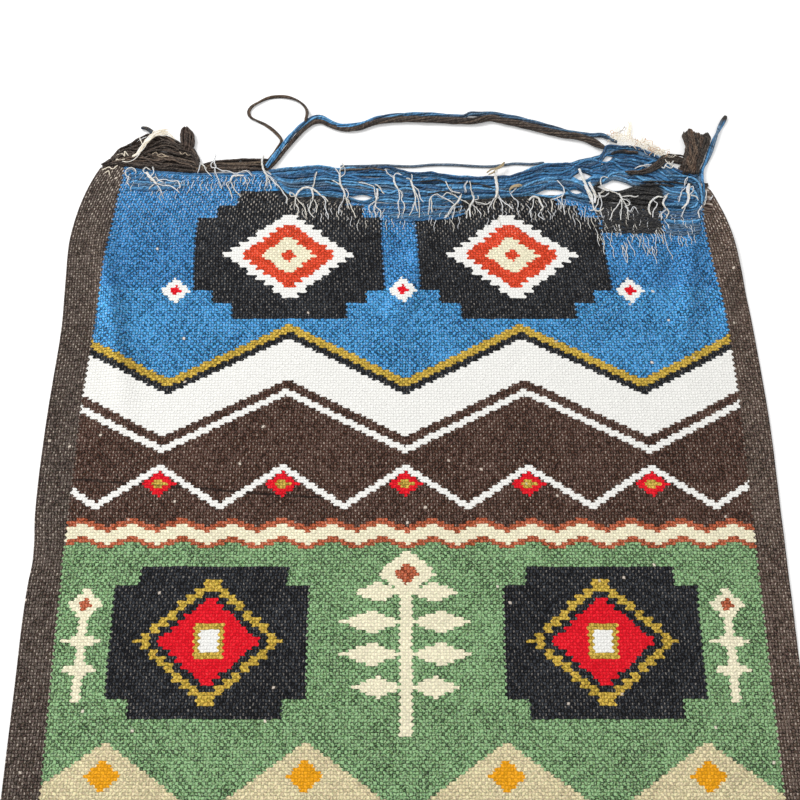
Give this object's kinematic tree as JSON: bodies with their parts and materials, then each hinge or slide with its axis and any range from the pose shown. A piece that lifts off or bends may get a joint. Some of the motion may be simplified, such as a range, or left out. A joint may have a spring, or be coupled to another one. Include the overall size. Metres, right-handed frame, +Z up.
{
  "type": "tapestry",
  "caption": "Handwoven wool tapestry lying flat, face up, its ragged top edge coming unwoven in loose yarns.",
  "frame": {"origin": "under the middle of the object without its loose yarns, at the surface that it lies on", "axes": "+X to the right across the cloth, +Y up the cloth toward its ragged top edge, +Z up out of its face"},
  "size_m": [0.741, 1.1537, 0.0143],
  "materials": {
    "weave": "matt wool weave on cotton warp",
    "cream_cotton": "soft cotton thread",
    "blue_wool": "matt handspun wool",
    "brown_wool": "matt handspun wool",
    "dark_wool": "matt handspun wool"
  },
  "bodies": {
    "root": {"woven_cloth": "weave", "warp_ends": "cream_cotton", "blue_wefts": "blue_wool", "left_brown_wefts": "brown_wool", "brown_band": "brown_wool", "right_brown_wefts": "brown_wool", "right_tuft": "brown_wool", "left_tuft": "brown_wool", "blue_yarns": "blue_wool", "brown_yarns": "brown_wool", "brown_loop": "brown_wool", "stray_weft": "blue_wool", "blue_end": "blue_wool", "cream_lock": "cream_cotton", "cream_fluff": "cream_cotton", "dark_end": "dark_wool"}
  },
  "joints": []
}
